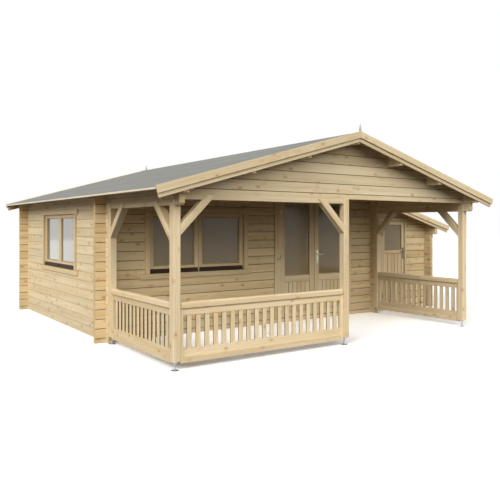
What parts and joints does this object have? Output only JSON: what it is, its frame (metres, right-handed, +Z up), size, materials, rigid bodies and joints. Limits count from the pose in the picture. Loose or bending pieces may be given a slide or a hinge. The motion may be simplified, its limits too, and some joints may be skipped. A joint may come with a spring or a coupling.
{
  "type": "log cabin",
  "caption": "Gabled pine log cabin with interlocked log corners, a glazed double door, casement windows, a front veranda on braced posts and a lean-to side room under one long roof slope.",
  "frame": {"origin": "on the ground, under the middle of the roof's outline", "axes": "+X to the right along the front, +Y from the veranda to the rear wall, +Z up"},
  "size_m": [7.644, 6.798, 3.0394],
  "materials": {
    "log_pine": "planed pine logs, untreated",
    "post_pine": "planed pine",
    "board_pine": "planed pine boards",
    "joinery_pine": "planed pine joinery",
    "floor_pine": "planed floor boards",
    "roof_felt": "mineral felt, matt",
    "grey_metal": "matt grey",
    "galvanised_steel": "galvanised",
    "hinge_steel": "zinc plated",
    "handle_steel": "satin",
    "dark_bronze": "dark bronze, satin",
    "window_glass": "clear glazing"
  },
  "bodies": {
    "cabin": {"left_wall": "log_pine", "right_wall": "log_pine", "front_wall": "log_pine", "rear_wall": "log_pine", "annex_wall": "log_pine", "veranda_gable": "log_pine", "left_eave_logs": "log_pine", "right_eave_logs": "log_pine", "roof_purlins": "log_pine", "veranda_posts": "post_pine", "knee_braces": "post_pine", "left_balustrade": "post_pine", "front_balustrade": "post_pine", "right_balustrade": "post_pine", "roof_boards_left": "board_pine", "roof_boards_right": "board_pine", "annex_roof_boards": "board_pine", "eave_fascias": "board_pine", "front_bargeboards": "board_pine", "rear_bargeboards": "board_pine", "annex_bargeboard": "board_pine", "verge_boards": "board_pine", "front_window_frame": "joinery_pine", "left_window_frame": "joinery_pine", "window_sashes": "joinery_pine", "main_door_frame": "joinery_pine", "annex_door_frame": "joinery_pine", "room_floors": "floor_pine", "roof_felt": "roof_felt", "gable_finials": "grey_metal", "post_feet": "galvanised_steel", "frame_hinges": "hinge_steel", "window_drip_bars": "dark_bronze", "window_glass": "window_glass"},
    "left_leaf": {"left_door_leaf": "joinery_pine", "left_door_glass": "window_glass", "left_door_hinges": "hinge_steel"},
    "right_leaf": {"right_door_leaf": "joinery_pine", "right_door_glass": "window_glass", "right_door_hinges": "hinge_steel", "right_door_handle": "handle_steel"},
    "annex_leaf": {"annex_door_leaf": "joinery_pine", "annex_door_glass": "window_glass", "annex_door_hinges": "hinge_steel", "annex_door_handle": "dark_bronze"}
  },
  "joints": [
    {"name": "left_leaf_hinge", "type": "hinge", "parent": "cabin", "child": "left_leaf", "pos_m": [-0.3657, -1.0813, 0], "axis": [0, 0, -1], "range_deg": [0, 110]},
    {"name": "right_leaf_hinge", "type": "hinge", "parent": "cabin", "child": "right_leaf", "pos_m": [1.1853, -1.0813, 0], "axis": [0, 0, 1], "range_deg": [0, 110]},
    {"name": "annex_leaf_hinge", "type": "hinge", "parent": "cabin", "child": "annex_leaf", "pos_m": [2.146, -1.0813, 0], "axis": [0, 0, -1], "range_deg": [0, 95]}
  ]
}
